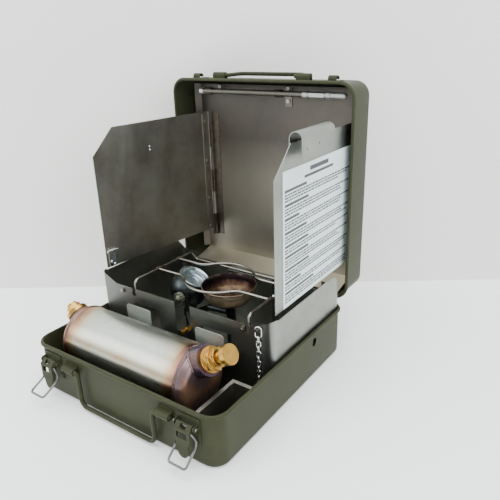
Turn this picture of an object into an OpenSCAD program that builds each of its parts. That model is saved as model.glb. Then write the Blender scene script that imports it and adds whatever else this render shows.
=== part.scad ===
// Portable liquid-fuel camping stove in a two-part steel carrying case.
// Frame: origin at the centre of the tray underside, +X right, +Y to the back, +Z up.
// The case is shown open: lid upright behind the tray, both wind shields unfolded.

/* [Case] */
// Width of the tray over its rolled rim
case_w = 320; // [312:1:328]
// Depth of the tray over its rolled rim
case_d = 320; // [316:1:328]
// Height of the tray
tray_h = 74; // [73.5:0.5:76]
// Depth of the lid
lid_h = 57; // [56:1:60]
// Sheet thickness of the case
sheet = 1.2; // [1:0.1:1.4]
// Radius of the rolled rim
bead_r = 2.6; // [2.4:0.1:2.8]
// Outer corner radius of the rim
corner_r = 24; // [20:1:28]

/* [Latches and handles] */
// Distance of the left latch from the centre line
latch_left = 122.5; // [121:0.5:124]
// Distance of the right latch from the centre line
latch_right = 117; // [116:0.5:119]
// Wire radius of the carrying handles
handle_wire = 3; // [2.6:0.1:3.2]
// Wire radius of the latch bails
bail_wire = 1.5; // [1.3:0.1:1.6]

/* [Wind shields] */
// Height of the shield bottom edge
shield_z0 = 133.2; // [133:0.2:135]
// Height of the shield top edge
shield_z1 = 340; // [336:1:344]
// Length of the chamfered front top corner
shield_cut = 37; // [32:1:42]

/* [Burner housing] */
// Half width of the housing
house_x = 153; // [152:0.5:153.5]
// Height of the front panel
panel_z = 118.5; // [116:0.5:119]
// Height of the raised front corners
ear_z = 132; // [129:0.5:132.5]
// Height of the housing sides
side_z = 130; // [127:0.5:131]

/* [Tank] */
// Outer radius of the tank barrel
tank_r = 41.7; // [40:0.1:42]
// Height of the tank axis
tank_z = 66; // [66:0.5:68]
// Plunger rod radius
rod_r = 3; // [2.6:0.1:3.2]
// Radius of the plunger knob
pump_knob_r = 12.5; // [11:0.5:13]

/* [Burner] */
// Radius of the burner bowl rim
bowl_r = 41; // [38:0.5:41]
// Height of the bowl rim
bowl_z = 117; // [114:0.5:118]
// Radius of the pot support wire
grid_r = 2; // [1.8:0.1:2.1]

/* [Output] */
// Sub-part to draw

/* [Hidden] */
$fn = 64;
wx = case_w / 2 - 3;
wy = case_d / 2 - 3;
wall_r = corner_r - 3;
bead_c = wx + 3 - bead_r;
bead_d = wy + 3 - bead_r;
hinge_y = case_d / 2 + 2.4;
hinge_z = tray_h;
lid_back = hinge_y + lid_h;
lid_top = hinge_z + hinge_y + wy;
liner_y = lid_back - 5.4;
sl = [-124.5, 207];
sr = [146.5, 200];
sl_a = -96.56;
sr_a = -90;
sl_w = 232;
sr_w = 219;
latch_xs = [-latch_left, latch_right];
latch_y = -wy - 6;
latch_z = 55;
bail_y = -wy - 10.5;
bail_z = 49.5;
lever_y = latch_y - 8;
front_y = -34;
tank_y = -100;
tank_x0 = -116;
tank_x1 = 80.5;
pump_o = [86, tank_y, tank_z + 24];
pump_a = 30;
fill_o = [-122, tank_y, tank_z + 22];
fill_a = 38;
bowl_c = [21, 53];
grid_c = [13, 42.5];
grid_z = 130;
rail_xl = -87;
rail_xr = 113.5;
pivot_y = -29.5;
pivot_z = 111;
clamp_x = [-109, 107];
chain_x = 133.5;
chain_y = -38.5;
stud_z = panel_z + 2.1;

olive = [0.34, 0.35, 0.28];
steel = [0.66, 0.66, 0.63];
dark = [0.34, 0.32, 0.3];
brass = [0.75, 0.6, 0.28];
zinc = [0.4, 0.46, 0.5];
tint = [0.42, 0.33, 0.27];

// ---------- shared shapes ----------

// Rounded rectangle outline.
module rrect(w, d, r) {
  square([w - 2 * r, d], center = true);
  square([w, d - 2 * r], center = true);
  for (sx = [-1, 1], sy = [-1, 1])
    translate([sx * (w / 2 - r), sy * (d / 2 - r)]) circle(r);
}

// Round rod between two points.
module rod(p, q, r) {
  v = q - p;
  len = norm(v);
  translate(p)
    rotate([0, acos(v[2] / len), atan2(v[1], v[0])])
      cylinder(r = r, h = len);
}

// Round quarter of a bend at point q of the path p, q, s.
module bend(p, q, s, rb, r) {
  u = (q - p) / norm(q - p);
  v = (s - q) / norm(s - q);
  th = acos(u * v);
  a = -(v - u) / norm(v - u);
  c = q - a * rb / cos(th / 2);
  t = rb * tan(th / 2);
  e = (q - u * t - c) / rb;
  n = cross(e, u);
  multmatrix([
    [e[0], u[0], n[0], c[0]],
    [e[1], u[1], n[1], c[1]],
    [e[2], u[2], n[2], c[2]],
    [0, 0, 0, 1]
  ]) rotate_extrude(angle = th) translate([rb, 0]) circle(r, $fn = 32);
}

// Length a bend of radius rb takes off the straight before corner i.
function cut(pts, i, rb) =
  (i == 0 || i == len(pts) - 1) ? 0
  : rb * tan(acos((pts[i] - pts[i - 1]) * (pts[i + 1] - pts[i])
      / (norm(pts[i] - pts[i - 1]) * norm(pts[i + 1] - pts[i]))) / 2);

// Wire through a list of points with every corner bent to radius rb.
module wire(pts, r, rb) {
  for (i = [0 : len(pts) - 2]) {
    d = (pts[i + 1] - pts[i]) / norm(pts[i + 1] - pts[i]);
    rod(pts[i] + d * cut(pts, i, rb), pts[i + 1] - d * cut(pts, i + 1, rb), r);
  }
  for (i = [1 : len(pts) - 2]) bend(pts[i - 1], pts[i], pts[i + 1], rb, r);
}

// Closed ring of round section following a rounded rectangle.
module bead_ring(hx, hy, rc, r) {
  for (s = [-1, 1]) {
    translate([-(hx - rc), s * hy, 0]) rotate([0, 90, 0]) cylinder(r = r, h = 2 * (hx - rc));
    translate([s * hx, -(hy - rc), 0]) rotate([-90, 0, 0]) cylinder(r = r, h = 2 * (hy - rc));
  }
  for (i = [0 : 3]) {
    sx = (i == 0 || i == 3) ? 1 : -1;
    sy = (i < 2) ? 1 : -1;
    translate([sx * (hx - rc), sy * (hy - rc), 0])
      rotate([0, 0, 90 * i])
        rotate_extrude(angle = 90) translate([rc, 0]) circle(r, $fn = 32);
  }
}

// U-shaped wire loop in the XZ plane, ends at z = 0, bar at z = -h.
module u_loop(hw, h, rb, r) {
  for (s = [-1, 1]) translate([s * hw, 0, -h + rb]) cylinder(r = r, h = h - rb);
  translate([-hw + rb, 0, -h]) rotate([0, 90, 0]) cylinder(r = r, h = 2 * (hw - rb));
  translate([hw - rb, 0, -h + rb]) rotate([90, 0, 0])
    rotate([0, 0, -90]) rotate_extrude(angle = 90) translate([rb, 0]) circle(r, $fn = 32);
  translate([-hw + rb, 0, -h + rb]) rotate([90, 0, 0])
    rotate([0, 0, 180]) rotate_extrude(angle = 90) translate([rb, 0]) circle(r, $fn = 32);
}

// Profile in (y, z) extruded along x, centred on x = 0.
module along_x(len) {
  translate([-len / 2, 0, 0]) rotate([90, 0, 90]) linear_extrude(len) children();
}

// Profile in (x, z) extruded toward -y by t from y = 0.
module along_y(t) {
  rotate([90, 0, 0]) linear_extrude(t) children();
}

// Low dome rivet head pointing along +z.
module rivet(r, h) {
  cylinder(r = r, h = h * 0.5);
  translate([0, 0, h * 0.5]) cylinder(r1 = r, r2 = r * 0.6, h = h * 0.5);
}

// Places lid parts drawn in the closed position into the open position.
module lid_open() {
  translate([0, hinge_y, hinge_z]) rotate([-90, 0, 0]) translate([0, -hinge_y, -hinge_z]) children();
}

module on_left() {
  translate([sl[0], sl[1], 0]) rotate([0, 0, sl_a]) children();
}

module on_right() {
  translate([sr[0], sr[1], 0]) rotate([0, 0, sr_a]) children();
}

// ---------- case ----------

module base_tray() {
  color(olive) {
    difference() {
      linear_extrude(tray_h - bead_r) rrect(2 * wx, 2 * wy, wall_r);
      translate([0, 0, sheet]) linear_extrude(tray_h)
        rrect(2 * (wx - sheet), 2 * (wy - sheet), wall_r - sheet);
      translate([wx - 4, 66, 54]) rotate([0, 90, 0]) cylinder(r = 6, h = 8);
      translate([wx - 4, 62, 54]) cube([8, 8, 8]);
    }
    translate([0, 0, tray_h - bead_r]) bead_ring(bead_c, bead_d, corner_r - bead_r, bead_r);
  }
}

// L-shaped divider of the spares compartment with a folded top edge.
module spares_divider() {
  x0 = 123;
  y1 = -79;
  yf = -wy + sheet;
  xr = wx - sheet;
  top = 64;
  color(dark) {
    translate([x0, yf, sheet]) cube([1, y1 - yf, top - sheet]);
    translate([x0, y1 - 1, sheet]) cube([xr - x0, 1, top - sheet]);
    translate([x0 - 4, yf, top - 1]) cube([5, y1 - yf + 4, 1]);
    translate([x0 - 4, y1 - 1, top - 1]) cube([xr - x0 + 4, 5, 1]);
    translate([x0 + 1, yf, sheet]) cube([8, y1 - yf - 1, 1]);
  }
}

// Cross section of one hinge leaf, flat part.
module leaf_flat() {
  polygon([[wy, 32], [wy + sheet, 32], [wy + sheet, 60], [wy, 60]]);
}

// Cross section of one hinge leaf, cranked part round the rim and the knuckle.
module leaf_neck() {
  polygon([
    [wy, 59], [wy + sheet, 59], [wy + sheet, 60.5], [wy + 4.8, 67.5],
    [wy + 4.8, 73], [wy + 3.6, 73], [wy + 3.6, 68], [wy, 61]
  ]);
  translate([hinge_y, hinge_z]) circle(2.4);
}

module hinge_pair(parts) {
  for (s = [-1, 1]) translate([s * 90, 0, 0])
    difference() {
      union() {
        along_x(50) leaf_flat();
        for (c = parts) translate([c, 0, 0]) along_x(9.6) leaf_neck();
      }
      translate([-30, hinge_y, hinge_z]) rotate([0, 90, 0]) cylinder(r = 1.3, h = 60);
    }
}

module hinge_tray() {
  color(olive) hinge_pair([-20, 0, 20]);
}

module hinge_pins() {
  color(steel) for (s = [-1, 1]) translate([s * 90 - 26, hinge_y, hinge_z]) rotate([0, 90, 0]) {
    cylinder(r = 1.24, h = 52);
    translate([0, 0, -1]) cylinder(r = 2, h = 1);
    translate([0, 0, 52]) cylinder(r = 2, h = 1);
  }
}

module hinge_lid() {
  color(olive) lid_open() translate([0, 0, 2 * hinge_z]) mirror([0, 0, 1]) hinge_pair([-10, 10]);
}

// ---------- latches ----------

module latch_plates() {
  color(olive) for (x = latch_xs) translate([x, 0, 0]) {
    translate([-17, -wy - sheet, 30]) cube([34, sheet, 35]);
    for (k = [-1, 1]) translate([k * 14 - 0.6, 0, 0]) difference() {
      union() {
        translate([0, latch_y, latch_z]) rotate([0, 90, 0]) cylinder(r = 4, h = 1.2);
        translate([0, latch_y, latch_z - 3.8]) cube([1.2, -wy - latch_y, 7.8]);
      }
      translate([-1, latch_y, latch_z]) rotate([0, 90, 0]) cylinder(r = 1.55, h = 4);
    }
    for (k = [-1, 1], z = [36, 45]) translate([k * 12, -wy - sheet, z]) rotate([90, 0, 0]) rivet(2, 1.2);
  }
}

module latch_pins() {
  color(steel) for (x = latch_xs) translate([x - 15.6, latch_y, latch_z]) rotate([0, 90, 0]) {
    cylinder(r = 1.5, h = 31.2);
    translate([0, 0, -0.8]) cylinder(r = 2.3, h = 0.8);
    translate([0, 0, 31.2]) cylinder(r = 2.3, h = 0.8);
  }
}

// Front face of the lever, seen from the front.
module lever_face() {
  difference() {
    union() {
      polygon([[-11.2, 52], [11.2, 52], [11.2, 44], [7, 22], [-7, 22], [-11.2, 44]]);
      translate([0, 22]) circle(7);
    }
    translate([-7.5, 42]) square([15, 8]);
  }
}

module lever_cheek() {
  polygon([
    [lever_y, 52.2], [latch_y - 1, 59], [latch_y + 2.6, 58.5], [latch_y + 2.6, 51],
    [bail_y + 3.2, 45], [lever_y + 2, 26], [lever_y, 26]
  ]);
}

// Lever: tapered face, sloping top with its window, and two cheeks.
module lever() {
  difference() {
    union() {
      translate([0, lever_y + 1.2, 0]) along_y(1.2) lever_face();
      along_x(22.4) polygon([
        [lever_y, 52], [latch_y - 1, 59], [latch_y - 0.2, 58.1], [lever_y + 0.8, 51.1]
      ]);
      for (k = [-1, 1]) intersection() {
        translate([k * 10.6, 0, 0]) along_x(1.2) lever_cheek();
        translate([-11.2, -wy - 20, 30]) cube([22.4, 20, 32]);
      }
    }
    translate([-4.5, lever_y + 1.8, 50]) cube([9, 4.4, 12]);
    translate([-20, latch_y, latch_z]) rotate([0, 90, 0]) cylinder(r = 1.6, h = 40);
    translate([-20, bail_y, bail_z]) rotate([0, 90, 0]) cylinder(r = bail_wire + 0.08, h = 40);
  }
}

module latch_lever_left() {
  color(olive) translate([latch_xs[0], 0, 0]) lever();
}

module latch_lever_right() {
  color(olive) translate([latch_xs[1], 0, 0]) lever();
}

// Wire bail with legs bowed toward the wall, swung outward by the given angle.
module bail(swing) {
  x = 13.2;
  leg = [[0, 0], [5.7, -11], [5.7, -19], [-15.5, -36.5]];
  translate([0, bail_y, bail_z]) rotate([-swing, 0, 0]) {
    for (s = [-1, 1]) {
      for (i = [0 : 2]) rod([s * x, leg[i][0], leg[i][1]], [s * x, leg[i + 1][0], leg[i + 1][1]], bail_wire);
      for (p = leg) translate([s * x, p[0], p[1]]) sphere(bail_wire * 1.2);
      translate([s > 0 ? 9 : -x, 0, 0]) rotate([0, 90, 0]) cylinder(r = bail_wire, h = x - 9);
    }
    rod([-x, leg[3][0], leg[3][1]], [x, leg[3][0], leg[3][1]], bail_wire);
  }
}

module latch_bail_left() {
  color(steel) translate([latch_xs[0], 0, 0]) bail(14);
}

module latch_bail_right() {
  color(steel) translate([latch_xs[1], 0, 0]) bail(0);
}

// ---------- handles ----------

handle_y = -wy - 6.6;

module base_handle() {
  color(olive) translate([0, handle_y, 55]) {
    u_loop(66, 49, 9, handle_wire);
    for (s = [-1, 1]) {
      translate([s * 66, 0, 0]) sphere(handle_wire);
      translate([s > 0 ? 66 : -95, 0, 0]) rotate([0, 90, 0]) cylinder(r = handle_wire, h = 29);
    }
  }
}

// Strap bracket with a rolled eye, wall side at y = 0, eye toward -y.
module strap(w, off, wr) {
  difference() {
    union() {
      translate([-w / 2, -sheet, -12]) cube([w, sheet, 20]);
      rotate([0, 90, 0]) translate([0, -off, -w / 2]) cylinder(r = wr + 1.5, h = w);
      translate([-w / 2, -off, wr]) cube([w, off, 1.5]);
      translate([-w / 2, -off, -wr - 1.5]) cube([w, off, 1.5]);
    }
    rotate([0, 90, 0]) translate([0, -off, -w / 2 - 1]) cylinder(r = wr + 0.09, h = w + 2);
    translate([-w / 2 - 1, -off, -wr]) cube([w + 2, off - sheet, 2 * wr]);
  }
  for (k = [-1, 1]) translate([k * w / 4, -sheet, -8.5]) rotate([90, 0, 0]) rivet(1.8, 1);
}

module base_handle_brackets() {
  color(olive) for (s = [-1, 1]) translate([s * 83, -wy, 55]) strap(22, 6.6, handle_wire);
}

lid_handle_y = hinge_y + 17;

module lid_handle() {
  color(olive) translate([0, lid_handle_y, lid_top + 6.6]) rotate([90, 0, 0]) {
    u_loop(58, 34, 9, handle_wire);
    for (s = [-1, 1]) {
      translate([s * 58, 0, 0]) sphere(handle_wire);
      translate([s > 0 ? 58 : -86, 0, 0]) rotate([0, 90, 0]) cylinder(r = handle_wire, h = 28);
    }
  }
}

module lid_handle_brackets() {
  color(olive) for (s = [-1, 1])
    translate([s * 74, lid_handle_y, lid_top]) rotate([-90, 0, 0]) mirror([0, 0, 1])
      strap(22, 6.6, handle_wire);
}

// ---------- lid ----------

module lid_shell() {
  color(olive) lid_open() {
    difference() {
      translate([0, 0, tray_h + bead_r]) linear_extrude(lid_h - bead_r) rrect(2 * wx, 2 * wy, wall_r);
      translate([0, 0, tray_h]) linear_extrude(lid_h - sheet)
        rrect(2 * (wx - sheet), 2 * (wy - sheet), wall_r - sheet);
    }
    translate([0, 0, tray_h + bead_r]) bead_ring(bead_c, bead_d, corner_r - bead_r, bead_r);
  }
}

// Steel liner plate standing off the back of the lid.
module lid_liner() {
  t = 0.8;
  z0 = 93;
  z1 = 384;
  gap = lid_back - sheet - liner_y - t;
  color(steel) {
    translate([-142, liner_y, z0]) cube([284, t, z1 - z0]);
    along_x(280) polygon([
      [liner_y + t, z0], [liner_y, z0 + 0.6], [hinge_y + 10, z0 - 9.5], [hinge_y + 10, z0 - 10.4]
    ]);
    for (s = [-1, 1]) translate([0, 0, z0]) linear_extrude(z1 - z0) polygon([
      [s * 142, liner_y], [s * 142, liner_y + t], [s * 150.6, liner_y - 7.4], [s * 150, liner_y - 8]
    ]);
    translate([-140, liner_y - 7, z1 - t]) cube([280, 7, t]);
    for (s = [-1, 1], z = [120, 350]) translate([s * 100, liner_y + t, z]) rotate([-90, 0, 0])
      cylinder(r = 6, h = gap);
  }
}

// Curled keeper for the bail, one above each latch.
module lid_keepers() {
  y0 = hinge_y + 16;
  color(olive) for (x = latch_xs) translate([x, 0, 0]) along_x(13) {
    translate([y0, lid_top]) square([26, sheet]);
    translate([y0 + 7, lid_top]) difference() {
      translate([0, 3]) circle(5.6);
      translate([0, 3]) circle(4.2);
      translate([0, -8]) square([12, 11]);
      translate([-12, -8]) square([24, 8]);
    }
  }
}

// ---------- stowed fuel pipe in the lid ----------

pipe_y = 185;
pipe_z = 375;
clip_xs = [-100, 29];

module fuel_pipe() {
  color([0.5, 0.52, 0.52]) translate([-112, pipe_y, pipe_z]) rotate([0, 90, 0]) difference() {
    cylinder(r = 4.2, h = 182);
    translate([0, 0, -1]) cylinder(r = 2.4, h = 184);
  }
}

module fuel_pipe_unions() {
  color(steel) translate([0, pipe_y, pipe_z]) rotate([0, 90, 0]) {
    translate([0, 0, 70]) cylinder(r = 5, h = 8);
    translate([0, 0, 78]) cylinder(r = 4, h = 3);
    translate([0, 0, 81]) cylinder(r = 5.2, h = 24, $fn = 6);
    translate([0, 0, 105]) cylinder(r = 4, h = 3);
    translate([0, 0, 108]) cylinder(r = 5.4, h = 6);
    translate([0, 0, 114]) cylinder(r = 4.6, h = 20);
    translate([0, 0, 134]) sphere(4.6);
    translate([0, 0, -119]) cylinder(r = 5.2, h = 7, $fn = 6);
  }
}

// Spring clips holding the pipe in front of the liner; the left foot points up, the right one down.
module fuel_pipe_clips() {
  color(dark) for (x = clip_xs) translate([x, 0, 0]) {
    difference() {
      translate([0, pipe_y, pipe_z]) rotate([0, 90, 0]) cylinder(r = 5.6, h = 12, center = true);
      translate([0, pipe_y, pipe_z]) rotate([0, 90, 0]) cylinder(r = 4.3, h = 14, center = true);
      translate([-8, pipe_y - 8, pipe_z - 2]) cube([16, 5, 4]);
    }
    translate([-6, pipe_y + 5, pipe_z - 1.2]) cube([12, liner_y - pipe_y - 6, 1.2]);
    translate([-6, liner_y - 1.2, x < 0 ? pipe_z - 1.2 : pipe_z - 22]) cube([12, 1.2, x < 0 ? 8 : 29]);
  }
}

module fuel_pipe_screws() {
  color(steel) for (q = [[-100, 4], [29, 4.6], [29, -14]])
    translate([q[0], liner_y - 1.2, pipe_z + q[1]]) rotate([90, 0, 0]) difference() {
    cylinder(r = 3, h = 2);
    translate([-4, -0.4, 1.2]) cube([8, 0.8, 2]);
  }
}

// ---------- wind shields ----------

module shield_plate(w) {
  along_y(1) polygon([
    [2.9, shield_z0], [w, shield_z0], [w, shield_z1 - shield_cut],
    [w - shield_cut, shield_z1], [2.9, shield_z1]
  ]);
}

module shield_left() {
  color(dark) difference() {
    on_left() translate([0, 0.5, 0]) shield_plate(sl_w);
    on_left() for (z = [297, 302]) translate([130, 2, z]) rotate([90, 0, 0]) cylinder(r = 1.2, h = 4);
  }
}

module shield_right() {
  color(steel) on_right() translate([0, 0.5, 0]) shield_plate(sr_w);
}

// Leaf riveted to the shield, with its share of the knuckles. Side k carries the leaf.
module moving_leaf(k) {
  difference() {
    union() {
      translate([2.2, k > 0 ? 0.5 : -1.3, shield_z0 + 2]) cube([13, 0.8, 200]);
      for (z = [160, 240]) translate([0, 0, z]) {
        cylinder(r = 2.2, h = 39.6);
        translate([0, k > 0 ? 0.5 : -1.3, 0]) cube([4, 0.8, 39.6]);
      }
    }
    translate([0, 0, 100]) cylinder(r = 1.3, h = 260);
    for (z = [118, 200, 280]) translate([0, 0, z - 0.2]) cylinder(r = 2.5, h = 40.4 + (z == 118 ? 2 : 0));
  }
}

module shield_leaf_left() {
  color(dark) on_left() moving_leaf(1);
}

module shield_leaf_right() {
  color(steel) on_right() moving_leaf(-1);
}

// Fixed leaf on the liner: plate, step forward and knuckles round the pin.
module fixed_leaf(x, y, k) {
  difference() {
    union() {
      translate([k > 0 ? x + 5 : x - 17, liner_y - 0.8, 121]) cube([12, 0.8, 216]);
      for (z = [121, 200.2, 280.2]) {
        translate([x, y, z]) cylinder(r = 2.2, h = z == 121 ? 38.6 : 39.4);
        translate([k > 0 ? x + 1.4 : x - 5.8, y + 1.4, z])
          cube([4.4, 0.8, z == 121 ? 38.6 : 39.4]);
        translate([k > 0 ? x + 5 : x - 5.8, y + 1.4, z])
          cube([0.8, liner_y - y - 1.4, z == 121 ? 38.6 : 39.4]);
      }
    }
    translate([x, y, 100]) cylinder(r = 1.2, h = 260);
  }
}

module lid_leaf_left() {
  color(dark) fixed_leaf(sl[0], sl[1], 1);
}

module lid_leaf_right() {
  color(steel) fixed_leaf(sr[0], sr[1], -1);
}

module shield_pins() {
  color(steel) for (p = [sl, sr]) translate([p[0], p[1], 119]) cylinder(r = 1.2, h = 220);
}

// Chromed spring catch at the lower front corner of a shield.
module catch_part(w, k) {
  translate([0, 0.5 * k, 0]) {
    translate([w - 16, k > 0 ? 0 : -1.2, shield_z0 + 0.4]) cube([11, 1.2, 30]);
    translate([w - 10.5, k * 2.6, shield_z0 + 26]) rotate([0, 90, 0]) cylinder(r = 1.7, h = 18, center = true);
    translate([w - 12, k > 0 ? 0 : -2.6, shield_z0 + 24.6]) cube([3, 2.6, 2.8]);
    for (i = [0, 1]) translate([w - 8.5 - 5 * i, k * 1.2, shield_z0 + 8 - 5 * i])
      rotate([-90 * k, 0, 0]) rivet(2.2, 1.6);
  }
}

module shield_catch_left() {
  color(steel) on_left() catch_part(sl_w, 1);
}

module shield_catch_right() {
  color(steel) on_right() catch_part(sr_w, -1);
}

// Hook bracket on the outside of the right shield: flat tongue and half-round roll.
module shield_clip() {
  u0 = 95;
  u1 = 178;
  zc = shield_z1 + 4;
  color(steel) on_right() {
    difference() {
      union() {
        translate([u0, 4.5, zc]) rotate([0, 90, 0]) cylinder(r = 9, h = u1 - u0);
      }
      translate([u0 - 1, 4.5, zc]) rotate([0, 90, 0]) cylinder(r = 8, h = u1 - u0 + 2);
      translate([u0 - 1, -6, zc - 12]) cube([u1 - u0 + 2, 22, 12]);
    }
    translate([u0, -4.5, zc - 8]) cube([u1 - u0, 1, 8.2]);
    translate([u0, -4.5, zc - 16]) cube([u1 - u0, 4, 8.2]);
    difference() {
      translate([u1 - 50, 12.5, zc - 24]) cube([50, 1, 24.2]);
      translate([u1 - 11, 15, zc - 12]) rotate([90, 0, 0]) cylinder(r = 1.4, h = 5);
      translate([u1 - 42, 15, zc - 10]) rotate([90, 0, 0]) cylinder(r = 1.4, h = 5);
    }
    for (u = [u0 + 12, u1 - 14]) translate([u, -4.5, zc - 12]) rotate([90, 0, 0]) rivet(2, 1.2);
  }
}

// Plain information plate on the outside of the right shield.
module placard() {
  color([0.85, 0.88, 0.87]) on_right() translate([18, 1.1, shield_z0 + 0.8]) along_y(0.6)
    square([183, 176]);
}

module shield_rivets_left() {
  color(dark) on_left() for (z = [324, 258, 192, 140]) {
    translate([10, 1.3, z]) rotate([-90, 0, 0]) rivet(1.8, 1);
    translate([10, -0.5, z]) rotate([90, 0, 0]) rivet(1.8, 1);
  }
}

module shield_rivets_right() {
  color(steel) on_right() for (z = [324, 258, 192, 140])
    translate([10, 0.5, z]) rotate([-90, 0, 0]) rivet(1.8, 1);
}

// ---------- burner housing ----------

module house_outline(o) {
  translate([0, (front_y + 150) / 2]) rrect(2 * (house_x - o), 150 - front_y - 2 * o, 8 - o);
}

// Bent sheet box: front with raised corners and a centre notch, rounded rear corners.
module housing_shell() {
  color(steel) {
    difference() {
      linear_extrude(side_z + 4) house_outline(0);
      translate([0, 0, -1]) linear_extrude(side_z + 10) house_outline(1);
      translate([-200, front_y - 5, -1]) cube([400, 200, sheet + 1]);
      translate([0, front_y + 10, 0]) along_y(16) polygon([
        [-200, ear_z], [-house_x + 2, ear_z], [-123.5, panel_z], [123.5, panel_z],
        [house_x - 2, ear_z], [200, ear_z], [200, 200], [-200, 200]
      ]);
      translate([-200, front_y + 10, side_z]) cube([400, 220, 20]);
      translate([-123.5, 140, 92]) cube([247, 20, 60]);
      difference() {
        translate([-200, 120, side_z - 30]) cube([400, 60, 60]);
        translate([-201, 120, side_z - 30]) rotate([0, 90, 0]) cylinder(r = 30, h = 402, $fn = 96);
      }
      translate([-8, front_y - 5, 75]) cube([27, 12, 65]);
      for (x = [-88, 40]) translate([x, front_y - 5, 60]) cube([48, 12, 36]);
      for (s = clamp_x) translate([s, front_y + 5, pivot_z]) rotate([90, 0, 0]) cylinder(r = 2.1, h = 12);
      for (x = [rail_xl, rail_xr]) translate([x - 3.2, front_y - 5, pivot_z - 4.4]) cube([6.4, 12, 20]);
    }
    translate([chain_x, front_y + 2.5, stud_z]) rotate([90, 0, 0]) {
      cylinder(r = 1.2, h = 11.5);
      cylinder(r = 2.6, h = 1.5);
      translate([0, 0, 11.5]) cylinder(r = 2.4, h = 1);
    }
  }
}

module housing_floor() {
  color(steel) difference() {
    translate([0, 0, sheet]) linear_extrude(1) house_outline(1);
    for (x = [-60, 0, 60], y = [0, 110]) translate([x, y, 0]) cylinder(r = 8, h = 4);
  }
}

// Two plates bent forward out of the front panel behind the tank.
module tank_tongues() {
  t = 1;
  y0 = -50;
  color(steel) for (x = [-87.5, 40.5]) translate([x, 0, 0]) {
    translate([0, y0, 61]) cube([47, front_y - y0 + 2, t]);
    translate([0, front_y + 1, 52]) cube([47, t, 10]);
    translate([0, y0 + t, 0]) along_y(t) {
      translate([0, 61]) square([47, 36]);
      translate([5, 61]) square([37, 41]);
      for (u = [5, 42]) translate([u, 97]) circle(5);
    }
  }
}

// Two concave saddles carrying the tank.
module tank_saddles() {
  color(steel) for (x = [-75, 35]) translate([x, 0, 0]) {
    difference() {
      translate([0, tank_y - 30, sheet]) cube([2, 60, 34]);
      translate([-1, tank_y, tank_z]) rotate([0, 90, 0]) cylinder(r = tank_r + 0.2, h = 4, $fn = 96);
    }
    translate([0, tank_y - 30, sheet]) cube([12, 60, 1]);
  }
}

// ---------- pot support ----------

// Two side rails, bent down to the pivot in front and to the rear bar.
module grid_rails() {
  color(steel) for (o = [-1, 1]) {
    x = o < 0 ? rail_xl : rail_xr;
    wire([[x + o * 16, pivot_y, pivot_z], [x, pivot_y, pivot_z], [x, pivot_y, grid_z], [x, 97, grid_z]],
      grid_r, 5);
    translate([x, 97, grid_z]) sphere(grid_r * 1.25);
    rod([x, 97, grid_z], [x - o * 8, 100, 118.6], grid_r);
  }
}

// One cross wire with a bow round the burner, k = -1 front, 1 rear.
module bow_wire(k, d, x0, x1) {
  rb = 51;
  f = 25;
  cx = sqrt((rb + f) * (rb + f) - (d + f) * (d + f));
  a = atan2(d + f, cx);
  e = 0.3;
  xl = k < 0 ? x0 - grid_c[0] : grid_c[0] - x1;
  xr = k < 0 ? x1 - grid_c[0] : grid_c[0] - x0;
  translate([grid_c[0], grid_c[1], grid_z]) rotate([0, 0, k > 0 ? 180 : 0]) {
    rotate([0, 0, 180 + a + e]) rotate_extrude(angle = 180 - 2 * a - 2 * e)
      translate([rb, 0]) circle(grid_r, $fn = 32);
    for (m = [-1, 1]) {
      translate([m * cx, -d - f, 0]) rotate([0, 0, m < 0 ? a + e : 90 + e])
        rotate_extrude(angle = 90 - a - 2 * e) translate([f, 0]) circle(grid_r, $fn = 32);
      translate([m * cx, -d, 0]) sphere(grid_r * 1.25);
      translate([m * rb * cos(a), -rb * sin(a), 0]) sphere(grid_r * 1.25);
    }
    translate([xl, -d, 0]) rotate([0, 90, 0]) cylinder(r = grid_r, h = -cx - 0.2 - xl);
    translate([cx + 0.2, -d, 0]) rotate([0, 90, 0]) cylinder(r = grid_r, h = xr - cx - 0.2);
  }
}

module grid_wires() {
  color(steel) {
    bow_wire(-1, 22.5, rail_xl + grid_r, rail_xr - grid_r);
    bow_wire(1, 23.5, rail_xl + grid_r, rail_xr - grid_r);
    translate([rail_xl + 9.8, 100, 118.6]) rotate([0, 90, 0])
      cylinder(r = grid_r, h = rail_xr - rail_xl - 19.6);
  }
}

// Welded collars where rails and cross wires meet.
module grid_collars() {
  color(dark) for (x = [rail_xl, rail_xr], y = [grid_c[1] - 22.5, grid_c[1] + 23.5])
    translate([x, y - 3.5, grid_z]) rotate([-90, 0, 0]) difference() {
      cylinder(r = grid_r + 1.1, h = 7);
      translate([0, 0, -1]) cylinder(r = grid_r + 0.02, h = 9);
      translate([x < 0 ? 0 : -6, -6, 3.5 - grid_r]) cube([6, 12, 2 * grid_r]);
    }
}

// Pivot sleeves behind the front panel with a screw and nut in front.
module grid_clamps() {
  color(steel) for (s = [0, 1]) {
    x = clamp_x[s];
    xs = s == 0 ? -104.2 : 118.7;
    translate([xs, pivot_y, pivot_z]) rotate([0, 90, 0]) difference() {
      cylinder(r = grid_r + 1.2, h = 12);
      translate([0, 0, -1]) cylinder(r = grid_r + 0.08, h = 15);
    }
    difference() {
      translate([s == 0 ? -112 : 100, front_y + 1, pivot_z - 9]) cube([32, 1, 14]);
      translate([(s == 0 ? rail_xl : rail_xr) - 3.2, front_y - 5, pivot_z - 4.4]) cube([6.4, 12, 20]);
      translate([x, front_y + 5, pivot_z]) rotate([90, 0, 0]) cylinder(r = 2.1, h = 8);
    }
    translate([x, front_y + 3.4, pivot_z]) rotate([90, 0, 0]) {
      cylinder(r = 2, h = 7.4);
      cylinder(r = 3.4, h = 1.4);
      translate([0, 0, 3.4]) cylinder(r = 3.6, h = 2.6, $fn = 6);
    }
  }
}

// ---------- burner ----------

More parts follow.
